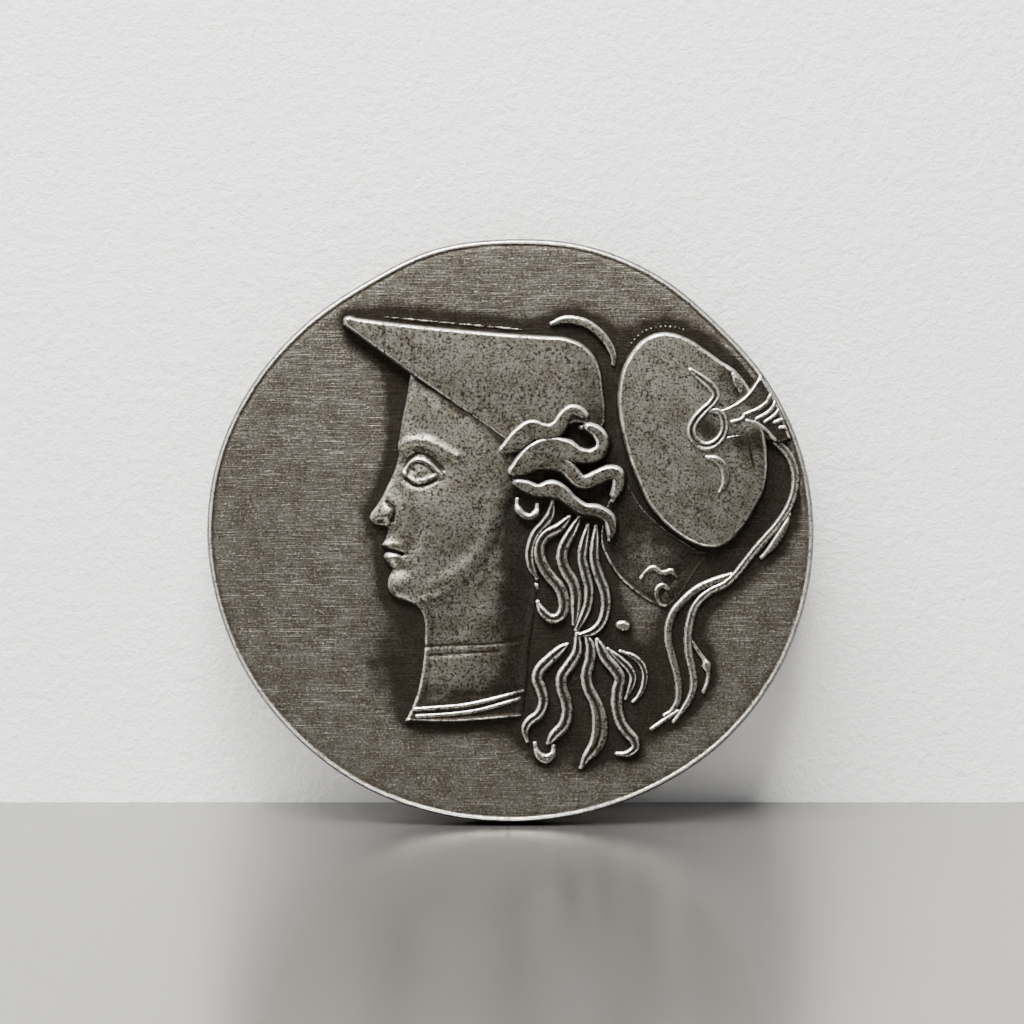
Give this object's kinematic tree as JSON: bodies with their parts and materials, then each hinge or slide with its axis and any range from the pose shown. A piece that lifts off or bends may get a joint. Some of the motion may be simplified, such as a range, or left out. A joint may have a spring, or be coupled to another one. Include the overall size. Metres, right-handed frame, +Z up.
{
  "type": "challenge coin",
  "caption": "Struck metal coin in the ancient manner with an uneven edge, a helmeted head facing left in relief and a sunk quartered punch mark on the back.",
  "frame": {"origin": "under the middle of the coin's width and of its full depth, at the lowest point of the edge", "axes": "+Z up through the coin standing on its edge, +X to the right of the obverse as it is looked at, -Y out of the obverse, +Y out of the reverse"},
  "size_m": [0.038, 0.0032, 0.0365],
  "materials": {
    "antique_field": "antiqued grey-brown metal, brushed and scratched, dark patina round the relief",
    "antique_relief": "struck relief, greenish grey with dark specks, bright worn tops and dark hollows"
  },
  "bodies": {
    "root": {"bowl_boss": "antique_relief", "bowl_hook": "antique_relief", "bowl_scroll": "antique_relief", "crest_holder": "antique_relief", "crest_plumes": "antique_relief", "crest_root": "antique_relief", "crest_tail": "antique_relief", "crest_tail_barb": "antique_relief", "crest_tail_branch": "antique_relief", "crest_tail_fold": "antique_relief", "crest_tail_tips": "antique_relief", "ear_curl": "antique_relief", "eye": "antique_relief", "flan": "antique_field", "hair_band": "antique_relief", "head_and_neck": "antique_relief", "helmet_bowl": "antique_relief", "helmet_visor": "antique_relief", "long_lock_1": "antique_relief", "long_lock_2": "antique_relief", "long_lock_3": "antique_relief", "long_lock_4": "antique_relief", "long_lock_5": "antique_relief", "loose_beads": "antique_relief", "neck_guard": "antique_relief", "neck_guard_curls": "antique_relief", "necklace_lower": "antique_relief", "necklace_upper": "antique_relief", "pony_curl": "antique_relief", "pony_lock_1": "antique_relief", "pony_lock_2": "antique_relief", "pony_lock_3": "antique_relief", "pony_lock_4": "antique_relief", "pony_lock_5": "antique_relief", "pony_lock_6": "antique_relief", "temple_curl_back": "antique_relief", "temple_curl_front": "antique_relief", "temple_curl_middle": "antique_relief"}
  },
  "joints": []
}
